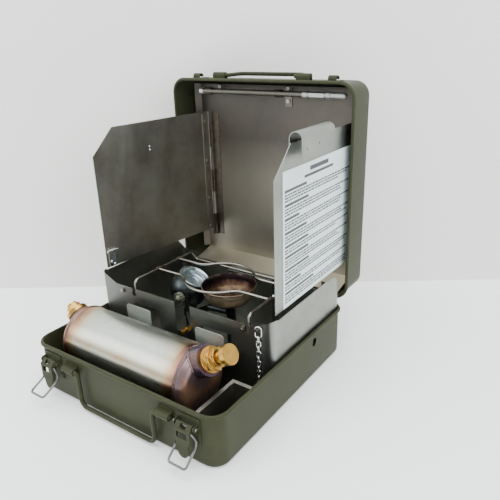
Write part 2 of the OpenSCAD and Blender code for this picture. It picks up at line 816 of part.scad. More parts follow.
module burner_bowl() {
  color(tint) translate([bowl_c[0], bowl_c[1], bowl_z - 29]) rotate_extrude($fn = 128) polygon([
    [6.2, 0], [20, 0], [28, 3], [35, 10], [39, 19], [bowl_r - 0.6, 28], [bowl_r, 28.4], [bowl_r, 29],
    [bowl_r - 1.4, 29], [37.9, 19.4], [34, 10.8], [27.4, 4.2], [19.8, 1.2], [6.2, 1.2]
  ]);
}

// Perforated spreader cap over the jet in the bowl.
module flame_spreader() {
  color(tint) translate([bowl_c[0], bowl_c[1], bowl_z - 40]) {
    difference() {
      union() {
        cylinder(r = 6, h = 17);
        translate([0, 0, 9]) cylinder(r = 9, h = 2);
      }
      translate([0, 0, -1]) cylinder(r = 2.2, h = 14);
    }
    difference() {
      translate([0, 0, 17]) cylinder(r = 15, h = 2.4);
      for (i = [0 : 11]) rotate([0, 0, 30 * i]) translate([11, 0, 16]) cylinder(r = 1.2, h = 5, $fn = 24);
    }
    translate([0, 0, 19.4]) cylinder(r1 = 7, r2 = 4, h = 2.4);
  }
}

bulb_c = [-51, 46.4, 96];
bulb_r = 30;
bulb_face = [0, 28, 15];
bulb_cut = 20;
bulb_to_bowl = [bowl_c[0] - bulb_c[0], bowl_c[1] - bulb_c[1], 0];

// Round mixing bulb at the burner inlet, cut obliquely for its dish, with its foot and cross tube.
module mixing_bulb() {
  color(zinc) translate([bulb_c[0], bulb_c[1], 0]) {
    difference() {
      union() {
        translate([0, 0, bulb_c[2]]) sphere(r = bulb_r, $fn = 96);
        translate([0, 0, 60]) cylinder(r = 9, h = 24);
      }
      translate([0, 0, bulb_c[2]]) sphere(r = bulb_r - 1.5, $fn = 96);
      translate([0, 0, bulb_c[2]]) rotate(bulb_face) translate([0, 0, bulb_cut]) cylinder(r = 30, h = 20);
      translate([0, 0, 50]) cylinder(r = 6, h = 38);
    }
    translate([0, 0, 2.2]) cylinder(r = 9, h = 57.8);
    translate([0, 0, 2.2]) cylinder(r = 16, h = 2);
    rod(0.1 * bulb_to_bowl + [0, 0, 54], 0.5 * bulb_to_bowl + [0, 0, 70], 5);
    rod(0.47 * bulb_to_bowl + [0, 0, 70], 0.97 * bulb_to_bowl + [0, 0, 70], 5);
    translate(bulb_to_bowl) {
      translate([0, 0, 69]) cylinder(r = 7, h = 7.8);
      translate([0, 0, 2.2]) cylinder(r = 6, h = 67);
      translate([0, 0, 2.2]) cylinder(r = 14, h = 2);
    }
  }
}

// Stepped dish with a rolled rim closing the oblique mouth of the bulb.
module bulb_dish() {
  color(zinc) translate(bulb_c) rotate(bulb_face) translate([0, 0, bulb_cut]) rotate_extrude($fn = 96) polygon([
    [0, -5.6], [8, -5.6], [9, -4.6], [14, -4.6], [16.2, -3.4], [17.2, 1.2], [20, 1.5], [22, 2.4],
    [23.2, 3.8], [24.2, 3.4], [24, 2.2], [22.6, 0.8], [20.6, 0.1], [18.2, 0.05], [17.4, -4], [15, -5.8],
    [9.6, -5.8], [8.6, -6.8], [0, -6.8]
  ]);
}

knob_c = [-17, -15, 113];

// Control valve: standpipe, valve body with its gland, and the links to inlet and bulb.
module valve_body() {
  color(brass) {
    translate([knob_c[0], 5, knob_c[2]]) rotate([90, 0, 0]) difference() {
      union() {
        cylinder(r = 4.6, h = 10);
        translate([0, 0, 1]) cylinder(r = 6, h = 6);
        translate([0, 0, 7]) cylinder(r = 6.4, h = 5, $fn = 6);
      }
      translate([0, 0, 1.8]) cylinder(r = 1.86, h = 20);
    }
    difference() {
      translate([knob_c[0], 1, 2.2]) cylinder(r = 3.2, h = 107);
      translate([knob_c[0], 5, knob_c[2]]) rotate([90, 0, 0]) cylinder(r = 5, h = 10);
    }
    translate([knob_c[0], 1, 2.2]) cylinder(r = 10, h = 1.4);
    translate([knob_c[0], 1, 80]) cylinder(r = 5.2, h = 12);
    rod([knob_c[0], 1, 86], [12, -25, 81], 3);
    translate([12, -24, 81]) rotate([90, 0, 0]) cylinder(r = 3, h = 6);
    rod([knob_c[0], 1, 62], [-45.56, 39.14, 62], 2.6);
  }
}

module valve_knob() {
  color(zinc) translate([knob_c[0], 7, knob_c[2]]) rotate([90, 0, 0]) {
    translate([0, 0, 4.2]) cylinder(r = 1.8, h = 12.8);
    translate([0, 0, 15]) cylinder(r = 5, h = 3);
    translate([0, 0, 18]) difference() {
      cylinder(r = 8.4, h = 6);
      for (i = [0 : 11]) rotate([0, 0, 30 * i]) translate([9.2, 0, -1]) cylinder(r = 1.4, h = 8, $fn = 24);
    }
    translate([0, 0, 24]) cylinder(r = 4.6, h = 1.6);
    translate([0, 0, 25.6]) cylinder(r = 2.6, h = 1.6, $fn = 6);
  }
}

// Inlet union reaching through the notch of the front panel.
module fuel_union() {
  color(brass) translate([12, -30, 81]) rotate([90, 0, 0]) {
    cylinder(r = 4.6, h = 6, $fn = 6);
    translate([0, 0, 6]) cylinder(r = 3.4, h = 8);
    translate([0, 0, 14]) cylinder(r = 4.4, h = 3);
  }
}

// Slotted strap behind the bowl that steadies the pot support.
module burner_bracket() {
  color(steel) difference() {
    union() {
      translate([-14, 97, 115.1]) cube([82, 16, 1.2]);
      translate([-14, 97, 2.2]) cube([1.2, 16, 114]);
      translate([66.8, 97, 2.2]) cube([1.2, 16, 114]);
      translate([-14, 97, 2.2]) cube([10, 16, 1]);
      translate([58, 97, 2.2]) cube([10, 16, 1]);
    }
    for (x = [0, 30]) translate([x, 103, 111]) {
      translate([0, 0, 0]) cube([20, 4, 10]);
      for (u = [0, 20]) translate([u, 2, 0]) cylinder(r = 2, h = 10, $fn = 32);
    }
  }
}

// ---------- tank ----------

module tank_barrel() {
  color(steel) translate([tank_x0, tank_y, tank_z]) rotate([0, 90, 0]) difference() {
    cylinder(r = tank_r, h = tank_x1 - tank_x0, $fn = 128);
    translate([0, 0, -1]) cylinder(r = tank_r - 1.2, h = tank_x1 - tank_x0 + 2, $fn = 128);
  }
}

// Pressed end cap of depth d, opening toward -z, with its weld seam.
module end_cap(d) {
  rotate_extrude($fn = 128) polygon([
    [0, d], [33, d], [37.5, d - 1.4], [40, d - 4.5], [tank_r - 0.6, d / 3], [tank_r - 0.2, 1.4],
    [tank_r + 1.2, 1], [tank_r + 1.2, -1], [tank_r, -1], [tank_r, 0], [tank_r - 1.6, 0],
    [tank_r - 1.6, d / 3 - 0.2], [39, d - 5.2], [36.8, d - 2.6], [32.8, d - 1.4], [0, d - 1.4]
  ]);
}

// Outer envelope of the tank end, grown by g, for fitting the necks to it.
module end_form(d, g) {
  rotate_extrude($fn = 128) polygon([
    [0, -60], [tank_r + g, -60], [tank_r + g, -1 - g], [tank_r + 1.2 + g, -1 - g],
    [tank_r + 1.2 + g, 1 + g], [tank_r - 0.2 + g, 1.4 + g], [tank_r - 0.6 + g, d / 3 + g],
    [40 + g, d - 4.5 + g], [37.5 + g, d - 1.4 + g], [33 + g, d + g], [0, d + g]
  ]);
}

module tank_ends() {
  color(tint) {
    difference() {
      translate([tank_x1, tank_y, tank_z]) rotate([0, 90, 0]) end_cap(15);
      translate(pump_o) rotate([0, 90 - pump_a, 0]) translate([0, 0, -10]) cylinder(r = 17.5, h = 60);
    }
    difference() {
      translate([tank_x0, tank_y, tank_z]) rotate([0, -90, 0]) end_cap(10);
      translate(fill_o) rotate([0, fill_a - 90, 0]) translate([0, 0, -20]) cylinder(r = 14.5, h = 60);
    }
  }
}

// Inclined necks welded to the end caps.
module tank_necks() {
  color(dark) {
    difference() {
      translate(pump_o) rotate([0, 90 - pump_a, 0]) difference() {
        translate([0, 0, -20]) cylinder(r = 20, h = 42);
        translate([0, 0, -30]) cylinder(r = 17.6, h = 48);
        cylinder(r = 9.1, h = 30);
      }
      translate([tank_x1, tank_y, tank_z]) rotate([0, 90, 0]) end_form(15, 0.02);
    }
    difference() {
      translate(fill_o) rotate([0, fill_a - 90, 0]) difference() {
        translate([0, 0, -20]) cylinder(r = 16, h = 32);
        translate([0, 0, -30]) cylinder(r = 11.6, h = 50);
      }
      translate([tank_x0, tank_y, tank_z]) rotate([0, -90, 0]) end_form(10, 0.02);
    }
  }
}

module filler_cap() {
  color(brass) translate(fill_o) rotate([0, fill_a - 90, 0]) {
    translate([0, 0, 13.6]) cylinder(r = 15.5, h = 4.4);
    translate([0, 0, 18]) cylinder(r = 13.5, h = 2);
    translate([0, 0, 20]) cylinder(r = 10, h = 7, $fn = 6);
    translate([0, 0, 27]) cylinder(r = 7.2, h = 3);
    translate([0, 0, -2]) cylinder(r = 11.5, h = 15.6);
  }
}

module filler_seal() {
  color([0.12, 0.12, 0.12]) translate(fill_o) rotate([0, fill_a - 90, 0]) translate([0, 0, 12])
    difference() {
      cylinder(r = 14.6, h = 1.5);
      translate([0, 0, -1]) cylinder(r = 11.6, h = 4);
    }
}

module pump_body() {
  color(brass) translate(pump_o) rotate([0, 90 - pump_a, 0]) difference() {
    union() {
      translate([0, 0, 22]) cylinder(r = 16.5, h = 4);
      translate([0, 0, 26]) cylinder(r = 16, h = 6, $fn = 6);
      translate([0, 0, 32]) cylinder(r = 13.5, h = 2);
      translate([0, 0, 34]) cylinder(r = 12.4, h = 4.5, $fn = 6);
      translate([0, 0, 38.5]) cylinder(r = 8.5, h = 1.5);
      translate([0, 0, 40]) cylinder(r = 12, h = 1.8);
      translate([0, 0, 41.8]) cylinder(r = 7, h = 3.2);
      translate([0, 0, 4]) cylinder(r = 9, h = 18);
    }
    translate([0, 0, 0]) cylinder(r = rod_r + 0.06, h = 60);
  }
}

module pump_barrel() {
  color(brass) translate(pump_o) rotate([0, 90 - pump_a, 0]) translate([0, 0, -72]) difference() {
    cylinder(r = 9, h = 75.9);
    translate([0, 0, 2]) cylinder(r = 8, h = 76);
    translate([0, 0, -1]) cylinder(r = 1.5, h = 4);
  }
}

module pump_plunger() {
  color(brass) translate(pump_o) rotate([0, 90 - pump_a, 0]) {
    translate([0, 0, -62]) cylinder(r = rod_r, h = 110);
    translate([0, 0, -64]) cylinder(r = 7.7, h = 6);
    translate([0, 0, 46]) cylinder(r = 5, h = 6);
    translate([0, 0, 52]) cylinder(r = pump_knob_r, h = 7);
    translate([0, 0, 59]) cylinder(r = pump_knob_r - 1, h = 0.6);
  }
}

// ---------- chain ----------

// Oval link in the local XZ plane, hanging down from z = 0.
module link(hl, hw, r) {
  for (s = [-1, 1]) translate([s * hw, 0, -hl]) cylinder(r = r, h = 2 * hl);
  for (m = [0, 1]) translate([0, 0, m == 0 ? hl : -hl]) rotate([90, 0, 0]) rotate([0, 0, 180 * m])
    rotate_extrude(angle = 180) translate([hw, 0]) circle(r, $fn = 24);
}

module chain() {
  color(steel) {
    translate([chain_x, chain_y, stud_z - 5]) rotate([0, 0, 20]) link(3.6, 4, 1);
    for (i = [0 : 9]) translate([chain_x, chain_y, stud_z - 14.8 - 7.2 * i])
      rotate([0, 0, (i % 2 == 0 ? 110 : 20)]) link(2, 2.6, 0.8);
  }
}

base_tray();
spares_divider();
hinge_tray();
hinge_pins();
latch_plates();
latch_pins();
latch_lever_left();
latch_lever_right();
latch_bail_left();
latch_bail_right();
base_handle();
base_handle_brackets();
lid_shell();
hinge_lid();
lid_liner();
lid_keepers();
lid_handle();
lid_handle_brackets();
fuel_pipe();
fuel_pipe_unions();
fuel_pipe_clips();
fuel_pipe_screws();
shield_left();
shield_right();
shield_leaf_left();
shield_leaf_right();
lid_leaf_left();
lid_leaf_right();
shield_pins();
shield_catch_left();
shield_catch_right();
shield_clip();
placard();
shield_rivets_left();
shield_rivets_right();
housing_shell();
housing_floor();
tank_tongues();
tank_saddles();
grid_rails();
grid_wires();
grid_collars();
grid_clamps();
burner_bowl();
flame_spreader();
mixing_bulb();
bulb_dish();
valve_body();
valve_knob();
fuel_union();
burner_bracket();
tank_barrel();
tank_ends();
tank_necks();
filler_cap();
filler_seal();
pump_body();
pump_barrel();
pump_plunger();
chain();
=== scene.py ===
import math
import random

import bmesh
import bpy
from mathutils import Matrix, Vector


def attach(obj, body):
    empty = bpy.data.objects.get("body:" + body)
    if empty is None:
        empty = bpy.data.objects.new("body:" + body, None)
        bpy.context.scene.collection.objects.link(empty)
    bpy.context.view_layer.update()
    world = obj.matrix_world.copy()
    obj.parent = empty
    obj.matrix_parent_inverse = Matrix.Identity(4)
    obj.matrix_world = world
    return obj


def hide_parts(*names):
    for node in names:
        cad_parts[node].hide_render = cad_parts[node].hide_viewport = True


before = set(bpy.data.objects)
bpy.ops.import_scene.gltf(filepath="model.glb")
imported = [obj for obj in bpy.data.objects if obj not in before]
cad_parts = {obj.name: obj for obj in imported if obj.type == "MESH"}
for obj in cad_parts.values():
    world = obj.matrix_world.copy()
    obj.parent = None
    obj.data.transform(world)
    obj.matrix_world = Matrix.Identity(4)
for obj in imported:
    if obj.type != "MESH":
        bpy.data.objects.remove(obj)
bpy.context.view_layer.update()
MM = 0.001


# ---------------------------------------------------------------- geometry helpers

def srgb(r, g, b):
    """Linear colour from 0-255 display values."""
    return tuple(((c / 255 + 0.055) / 1.055) ** 2.4 if c > 10 else c / 255 / 12.92 for c in (r, g, b)) + (1.0,)


def make(name, verts, faces, mats, body, replaces=(), sharp=38, indices=None):
    """A mesh piece from points in millimetres, riding on a body."""
    me = bpy.data.meshes.new(name)
    me.from_pydata([tuple(c * MM for c in v) for v in verts], [], faces)
    for m in mats if isinstance(mats, (list, tuple)) else [mats]:
        me.materials.append(m)
    if indices:
        for p, i in zip(me.polygons, indices):
            p.material_index = i
    bm = bmesh.new()
    bm.from_mesh(me)
    bmesh.ops.recalc_face_normals(bm, faces=bm.faces)
    bm.to_mesh(me)
    bm.free()
    for p in me.polygons:
        p.use_smooth = True
    me.set_sharp_from_angle(angle=math.radians(sharp))
    ob = bpy.data.objects.new(name, me)
    bpy.context.collection.objects.link(ob)
    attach(ob, body)
    if replaces:
        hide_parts(*replaces)
    return ob


def round_path(pts, rb, steps=7, closed=False):
    """The polyline with each corner replaced by an arc."""
    pts = [Vector(p) for p in pts]
    out, n = [], len(pts)
    for i, p in enumerate(pts):
        r = rb[i] if isinstance(rb, (list, tuple)) else rb
        if (not closed and i in (0, n - 1)) or r <= 0:
            out.append(p)
            continue
        u, v = (pts[i - 1] - p).normalized(), (pts[(i + 1) % n] - p).normalized()
        ang = u.angle(v)
        if ang > math.pi - 0.02:
            out.append(p)
            continue
        t = r / math.tan(ang / 2)
        c = p + (u + v).normalized() * (r / math.sin(ang / 2))
        s, e = p + u * t - c, p + v * t - c
        k, total = s.cross(e).normalized(), s.angle(e)
        out += [c + Matrix.Rotation(total * j / steps, 3, k) @ s for j in range(steps + 1)]
    return out


def profile(pts, r=1.0, steps=4, closed=False):
    """A 2-D profile with rounded corners."""
    return [(p.x, p.y) for p in round_path([(a, b, 0) for a, b in pts], r, steps, closed)]


def tube(path, radius, sides=14, closed=False):
    """Points and faces of a round section swept along a path; radius may be a function of the index."""
    path = [Vector(p) for p in path]
    n = len(path)
    tan = []
    for i in range(n):
        a = path[(i - 1) % n] if closed or i else path[i]
        b = path[(i + 1) % n] if closed or i < n - 1 else path[i]
        tan.append((b - a).normalized())
    nrm = tan[0].orthogonal().normalized()
    frames = [nrm]
    for i in range(1, n):
        q = tan[i - 1].rotation_difference(tan[i])
        nrm = (q @ nrm).normalized()
        frames.append(nrm)
    twist = 0.0
    if closed:
        q = tan[-1].rotation_difference(tan[0])
        back = (q @ frames[-1]).normalized()
        twist = math.atan2(tan[0].dot(back.cross(frames[0])), back.dot(frames[0]))
    verts, faces = [], []
    rad = radius if callable(radius) else (lambda i: radius)
    rings = [(i, path[i], rad(i)) for i in range(n)]
    if not closed:
        r0, r1 = rad(0), rad(n - 1)
        rings = [(0, path[0] - tan[0] * r0 * 0.18, r0 * 0.72)] + rings
        rings += [(n - 1, path[-1] + tan[-1] * r1 * 0.18, r1 * 0.72)]
    for i, p, r in rings:
        u = Matrix.Rotation(twist * i / n, 3, tan[i]) @ frames[i]
        v = tan[i].cross(u)
        for j in range(sides):
            a = 2 * math.pi * j / sides
            verts.append(p + u * r * math.cos(a) + v * r * math.sin(a))
    m = len(rings)
    for i in range(m if closed else m - 1):
        for j in range(sides):
            a, b = i * sides, ((i + 1) % m) * sides
            k = (j + 1) % sides
            faces.append((a + j, a + k, b + k, b + j))
    if not closed:
        faces += [tuple(range(sides)), tuple((m - 1) * sides + j for j in range(sides))]
    return verts, faces


def join(*parts):
    verts, faces = [], []
    for v, f in parts:
        k = len(verts)
        verts += list(v)
        faces += [tuple(i + k for i in q) for q in f]
    return verts, faces


def lathe(prof, origin, axis, n=96, closed=False, wobble=None, ref=(0, 0, 1)):
    """A profile of (radius, distance along axis) turned about the axis."""
    o, ax = Vector(origin), Vector(axis).normalized()
    e1 = Vector(ref) - ax * Vector(ref).dot(ax)
    e1 = e1.normalized() if e1.length > 1e-6 else ax.orthogonal().normalized()
    e2 = ax.cross(e1)
    verts, faces, rows = [], [], []
    for r, t in prof:
        if r < 1e-6 and not closed:
            rows.append([len(verts)])
            verts.append(o + ax * t)
            continue
        rows.append(list(range(len(verts), len(verts) + n)))
        for j in range(n):
            a = 2 * math.pi * j / n
            q = r + (wobble(r, t, a) if wobble else 0)
            verts.append(o + ax * t + e1 * q * math.cos(a) + e2 * q * math.sin(a))
    pairs = list(zip(rows, rows[1:] + rows[:1])) if closed else list(zip(rows, rows[1:]))
    for a, b in pairs:
        if len(a) == 1 and len(b) == 1:
            continue
        for j in range(n):
            k = (j + 1) % n
            if len(a) == 1:
                faces.append((a[0], b[k], b[j]))
            elif len(b) == 1:
                faces.append((a[j], a[k], b[0]))
            else:
                faces.append((a[j], a[k], b[k], b[j]))
    if not closed:
        for row in (rows[0], rows[-1]):
            if len(row) > 1:
                faces.append(tuple(row))
    return verts, faces


def pan(prof, hx, hy, rc, steps=12):
    """A pressed shell: a profile of (offset, height) carried round a rounded rectangle."""
    verts, faces = [], []
    n = 4 * (steps + 1)
    for o, z in prof:
        r = max(rc + o, 1.0)
        for q, (sx, sy) in enumerate(((1, 1), (-1, 1), (-1, -1), (1, -1))):
            for j in range(steps + 1):
                a = math.radians(90 * q + 90 * j / steps)
                verts.append((sx * (hx + o - r) + r * math.cos(a), sy * (hy + o - r) + r * math.sin(a), z))
    for i in range(len(prof) - 1):
        for j in range(n):
            k = (j + 1) % n
            faces.append((i * n + j, i * n + k, (i + 1) * n + k, (i + 1) * n + j))
    faces += [tuple(range(n)), tuple((len(prof) - 1) * n + j for j in range(n))]
    return verts, faces


def arc(cx, cy, r, a0, a1, steps=6):
    return [(cx + r * math.cos(math.radians(a0 + (a1 - a0) * j / steps)),
             cy + r * math.sin(math.radians(a0 + (a1 - a0) * j / steps))) for j in range(steps + 1)]


def boxes(cells):
    """Closed boxes given by their eight corner points."""
    verts, faces = [], []
    for c in cells:
        k = len(verts)
        verts += c
        faces += [tuple(k + i for i in q) for q in
                  ((0, 1, 2, 3), (4, 5, 6, 7), (0, 1, 5, 4), (1, 2, 6, 5), (2, 3, 7, 6), (3, 0, 4, 7))]
    return verts, faces


# ---------------------------------------------------------------- material helpers

class Look:
    """A node material with short calls for the nodes used here."""

    def __init__(self, name):
        self.mat = bpy.data.materials.new(name)
        self.mat.use_nodes = True
        self.nt = self.mat.node_tree
        self.bsdf = self.nt.nodes["Principled BSDF"]
        self.obj = self.new("ShaderNodeTexCoord").outputs["Object"]

    def new(self, kind, **kw):
        n = self.nt.nodes.new(kind)
        for k, v in kw.items():
            setattr(n, k, v)
        return n

    def put(self, sock, value):
        if isinstance(value, bpy.types.NodeSocket):
            self.nt.links.new(value, sock)
        else:
            sock.default_value = value

    def set(self, **kw):
        for k, v in kw.items():
            self.put(self.bsdf.inputs[k.replace("_", " ")], v)

    def stretch(self, scale):
        n = self.new("ShaderNodeMapping")
        self.put(n.inputs["Vector"], self.obj)
        n.inputs["Scale"].default_value = scale
        return n.outputs[0]

    def noise(self, vec, scale, detail=3.0, rough=0.55):
        n = self.new("ShaderNodeTexNoise")
        self.put(n.inputs["Vector"], vec)
        n.inputs["Scale"].default_value = scale
        n.inputs["Detail"].default_value = detail
        n.inputs["Roughness"].default_value = rough
        return n.outputs[0]

    def cells(self, vec, scale):
        n = self.new("ShaderNodeTexVoronoi")
        self.put(n.inputs["Vector"], vec)
        n.inputs["Scale"].default_value = scale
        return n.outputs["Distance"]

    def math(self, op, a, b=0.0, clamp=False):
        n = self.new("ShaderNodeMath", operation=op, use_clamp=clamp)
        self.put(n.inputs[0], a)
        self.put(n.inputs[1], b)
        return n.outputs[0]

    def span(self, v, a, b, c, d):
        n = self.new("ShaderNodeMapRange")
        for i, x in enumerate((v, a, b, c, d)):
            self.put(n.inputs[i], x)
        return n.outputs[0]

    def ramp(self, fac, stops):
        n = self.new("ShaderNodeValToRGB")
        self.put(n.inputs[0], fac)
        e = n.color_ramp.elements
        while len(e) < len(stops):
            e.new(0.5)
        for el, (p, c) in zip(e, stops):
            el.position = p
            el.color = c
        return n.outputs[0]

    def mix(self, fac, a, b, blend="MIX"):
        n = self.new("ShaderNodeMix", data_type="RGBA", blend_type=blend)
        self.put(n.inputs[0], fac)
        self.put(n.inputs[6], a)
        self.put(n.inputs[7], b)
        return n.outputs[2]

    def bump(self, height, strength, dist, normal=None):
        n = self.new("ShaderNodeBump")
        n.inputs["Strength"].default_value = strength
        n.inputs["Distance"].default_value = dist
        self.put(n.inputs["Height"], height)
        if normal is not None:
            self.put(n.inputs["Normal"], normal)
        return n.outputs[0]

    def xyz(self):
        n = self.new("ShaderNodeSeparateXYZ")
        self.put(n.inputs[0], self.obj)
        return n.outputs

    def from_axis(self, origin, axis):
        """Distance from a line, in metres."""
        s = self.new("ShaderNodeVectorMath", operation="SUBTRACT")
        self.put(s.inputs[0], self.obj)
        s.inputs[1].default_value = [c * MM for c in origin]
        c = self.new("ShaderNodeVectorMath", operation="CROSS_PRODUCT")
        self.put(c.inputs[0], s.outputs[0])
        c.inputs[1].default_value = Vector(axis).normalized()
        k = self.new("ShaderNodeVectorMath", operation="LENGTH")
        self.put(k.inputs[0], c.outputs[0])
        return k.outputs["Value"]


def painted(name, colour, rough=0.38, light=1.25):
    """Sprayed enamel: fine orange peel, faint dust and tone patches."""
    k = Look(name)
    peel = k.noise(k.obj, 900, 2)
    patch = k.noise(k.obj, 22, 4)
    dust = k.noise(k.obj, 260, 5, 0.7)
    dark = tuple(c * 0.86 for c in colour[:3]) + (1,)
    pale = tuple(min(1, c * light) for c in colour[:3]) + (1,)
    tone = k.ramp(patch, [(0.3, dark), (0.55, colour), (0.8, pale)])
    col = k.mix(k.span(dust, 0.62, 0.8, 0, 0.35), tone, tuple(min(1, c * 2.0 + 0.01) for c in colour[:3]) + (1,))
    k.set(Base_Color=col, Metallic=0.0, Roughness=k.span(patch, 0.3, 0.8, rough - 0.06, rough + 0.1),
          Normal=k.bump(peel, 0.10, 0.0004))
    k.bsdf.inputs["Specular IOR Level"].default_value = 0.06
    return k.mat


def steel(name, colour, rough=0.3, brush=(1300, 1300, 24), stain=None, amount=0.4, fade=None, patch_scale=9):
    """Rolled sheet or wire: directional polish, smudges and optional stain."""
    k = Look(name)
    lines = k.noise(k.stretch(brush), 1.0, 3, 0.6)
    smear = k.noise(k.stretch(tuple(min(b, 60) ** 0.5 * 3 for b in brush)), 1.0, 4, 0.6)
    patch = k.noise(k.obj, patch_scale, 5, 0.62)
    dark = tuple(c * 0.72 for c in colour[:3]) + (1,)
    col = k.mix(k.span(patch, 0.35, 0.72, 0, 1), colour, dark)
    if stain:
        col = k.mix(k.span(k.noise(k.obj, patch_scale * 2.3, 6, 0.68), 0.42, 0.7, 0, amount), col, stain)
    col = k.mix(k.span(lines, 0.4, 0.7, 0.0, 0.16), col, tuple(min(1, c * 1.25) for c in colour[:3]) + (1,))
    # Optional blend toward a tint along one axis; on the liner it is painted light, paler at the bottom.
    if fade:
        axis, near, far, tint = fade
        col = k.mix(k.span(k.xyz()[axis], near, far, 1, 0), col, tint)
    rg = k.math("ADD", k.span(lines, 0.3, 0.75, rough - 0.05, rough + 0.07), k.span(smear, 0.35, 0.7, -0.03, 0.07))
    k.set(Base_Color=col, Metallic=1.0, Roughness=rg, Normal=k.bump(lines, 0.07, 0.0002))
    return k.mat


TANK_X0, TANK_X1, TANK_Y, TANK_Z, TANK_R = -116.0, 80.5, -100.0, 66.0, 41.7
PUMP_O, PUMP_AX = (86.0, -100.0, 90.0), (math.cos(math.radians(30)), 0, math.sin(math.radians(30)))
FILL_O, FILL_AX = (-122.0, -100.0, 88.0), (-math.cos(math.radians(38)), 0, math.sin(math.radians(38)))

OLIVE = srgb(56, 58, 42)


def tinted_tank(name):
    """Steel with heat colours that fade away from each weld; the bottom half of the barrel also takes the brown
    colours as a painted reflection of the dark tray.
    """
    k = Look(name)
    x, y, z = k.xyz()
    d0 = k.math("ABSOLUTE", k.math("SUBTRACT", x, TANK_X0 * MM))
    d1 = k.math("ABSOLUTE", k.math("SUBTRACT", x, TANK_X1 * MM))
    d = k.math("MINIMUM", d0, d1)
    a = math.radians(25)
    nrm = (0, -math.sin(a), -math.cos(a))
    off = k.math("ADD", k.math("MULTIPLY", k.math("SUBTRACT", y, TANK_Y * MM), nrm[1]),
                 k.math("MULTIPLY", k.math("SUBTRACT", z, TANK_Z * MM), nrm[2]))
    seam = k.math("ADD", k.math("ABSOLUTE", off), k.span(y, -0.11, -0.08, 0, 0.1))
    d = k.math("MINIMUM", d, k.math("ADD", k.math("MULTIPLY", seam, 1.5), 0.016))
    neck = k.math("SUBTRACT", k.from_axis(PUMP_O, PUMP_AX), 0.0205)
    neck = k.math("ADD", k.math("ABSOLUTE", neck), k.span(x, 0.05, 0.07, 0.1, 0))
    neck2 = k.math("SUBTRACT", k.from_axis(FILL_O, FILL_AX), 0.0165)
    neck2 = k.math("ADD", k.math("ABSOLUTE", neck2), k.span(x, -0.10, -0.08, 0, 0.1))
    d = k.math("MINIMUM", d, k.math("MINIMUM", neck, neck2))
    wob = k.math("MULTIPLY", k.math("SUBTRACT", k.noise(k.obj, 34, 5, 0.6), 0.5), 0.018)
    cap = k.span(x, 0.0805, 0.083, 0, 0.008)
    # Painted reflection: under the barrel's middle the colour is pushed toward the brown end of the ramp, standing in
    # for the dark tray seen in the steel.
    painted_bottom_reflection = k.span(z, 0.062, 0.03, 0.0, 0.012)
    d = k.math("SUBTRACT", k.math("ADD", d, wob), k.math("ADD", cap, painted_bottom_reflection))
    fac = k.math("MULTIPLY", d, 1 / 0.05, clamp=True)
    col = k.ramp(fac, [
        (0.0, srgb(112, 92, 92)), (0.05, srgb(134, 100, 84)), (0.15, srgb(158, 122, 96)), (0.26, srgb(176, 152, 120)),
        (0.42, srgb(184, 178, 158)), (0.62, srgb(186, 188, 176)), (1.0, srgb(190, 195, 188))])
    lines = k.noise(k.stretch((30, 1200, 1200)), 1.0, 3)
    grime = k.noise(k.obj, 60, 6, 0.7)
    col = k.mix(k.span(grime, 0.55, 0.8, 0, 0.35), col, srgb(120, 108, 98))
    ends = k.math("MAXIMUM", k.span(x, 0.079, 0.084, 0, 1), k.span(x, -0.121, -0.116, 1, 0))
    k.set(Base_Color=col, Metallic=k.span(ends, 0, 1, 1, 0.8), Roughness=k.span(lines, 0.3, 0.7, 0.26, 0.38),
          Normal=k.bump(grime, 0.08, 0.0006, k.bump(lines, 0.06, 0.0002)))
    return k.mat


def brass(name, colour, rough=0.24, spun=None):
    k = Look(name)
    patch = k.noise(k.obj, 70, 5, 0.65)
    fine = k.noise(k.obj, 900, 2)
    col = k.mix(k.span(patch, 0.42, 0.75, 0, 0.75), colour, srgb(146, 104, 50))
    normal = k.bump(fine, 0.06, 0.0002)
    if spun:
        rings = k.math("SINE", k.math("MULTIPLY", k.from_axis(*spun), 14000))
        normal = k.bump(rings, 0.10, 0.0001, normal)
        k.bsdf.inputs["Anisotropic"].default_value = 0.5
    k.set(Base_Color=col, Metallic=1.0, Roughness=k.span(patch, 0.3, 0.7, rough - 0.05, rough + 0.12), Normal=normal)
    return k.mat


def zinc(name, colour, rough=0.3):
    k = Look(name)
    spot = k.cells(k.obj, 120)
    patch = k.noise(k.obj, 40, 6, 0.7)
    col = k.mix(k.span(patch, 0.4, 0.68, 0, 0.85), colour, tuple(c * 0.42 for c in colour[:3]) + (1,))
    col = k.mix(k.span(spot, 0.0, 0.6, 0.25, 0), col, tuple(min(1, c * 1.7) for c in colour[:3]) + (1,))
    k.set(Base_Color=col, Metallic=1.0, Roughness=k.span(patch, 0.3, 0.7, rough - 0.06, rough + 0.15),
          Normal=k.bump(patch, 0.12, 0.0008))
    return k.mat


def burnt(name, stops, z0, z1, rough=0.36, streak=46):
    """Sheet with heat bands by height, broken by streaks that run down."""
    k = Look(name)
    z = k.xyz()[2]
    w = k.math("MULTIPLY", k.math("SUBTRACT", k.noise(k.stretch((90, 90, 9)), 1.0, 5, 0.65), 0.5), 0.75)
    fac = k.math("ADD", k.span(z, z0 * MM, z1 * MM, 0, 1), w, clamp=True)
    col = k.ramp(fac, stops)
    blot = k.noise(k.obj, streak, 6, 0.72)
    col = k.mix(k.span(blot, 0.5, 0.72, 0, 0.6), col, srgb(52, 36, 30))
    k.set(Base_Color=col, Metallic=0.85, Roughness=k.span(blot, 0.3, 0.7, rough - 0.06, rough + 0.2),
          Normal=k.bump(blot, 0.12, 0.0006))
    return k.mat


def plain_card(name, colour, grime, rough=0.42):
    k = Look(name)
    patch = k.noise(k.obj, 18, 5, 0.65)
    fibre = k.noise(k.obj, 1400, 3)
    col = k.mix(k.span(patch, 0.4, 0.75, 0, 0.5), colour, grime)
    k.set(Base_Color=col, Metallic=0.0, Roughness=k.span(patch, 0.3, 0.7, rough, rough + 0.15),
          Normal=k.bump(fibre, 0.05, 0.0002))
    return k.mat


